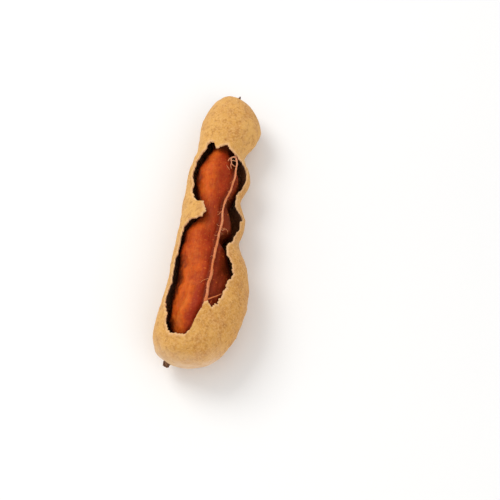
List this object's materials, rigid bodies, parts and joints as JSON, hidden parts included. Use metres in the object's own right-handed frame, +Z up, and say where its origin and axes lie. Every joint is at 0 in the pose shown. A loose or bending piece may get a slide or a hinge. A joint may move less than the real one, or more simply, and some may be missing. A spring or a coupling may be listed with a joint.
{
  "type": "tamarind pod",
  "caption": "Brown tamarind pod lying flat, its brittle shell broken open along the top to show red-orange pulp with a pale vein running along it.",
  "frame": {"origin": "on the surface the pod rests on, under the middle of the pod", "axes": "+Y from the stalk end to the tip, +Z up through the open window, +X to the right seen from the stalk end"},
  "size_m": [0.0318, 0.1142, 0.0258],
  "materials": {
    "shell": "matte, scurfy, sandy brown",
    "pulp": "moist, glossy, red-orange",
    "vein": "satin, pale orange",
    "stalk": "matte, dark brown",
    "tip": "matte, dark brown"
  },
  "bodies": {
    "root": {"shell": "shell", "pulp": "pulp", "vein_strand": "vein", "stalk_stub": "stalk", "tip_point": "tip"}
  },
  "joints": []
}
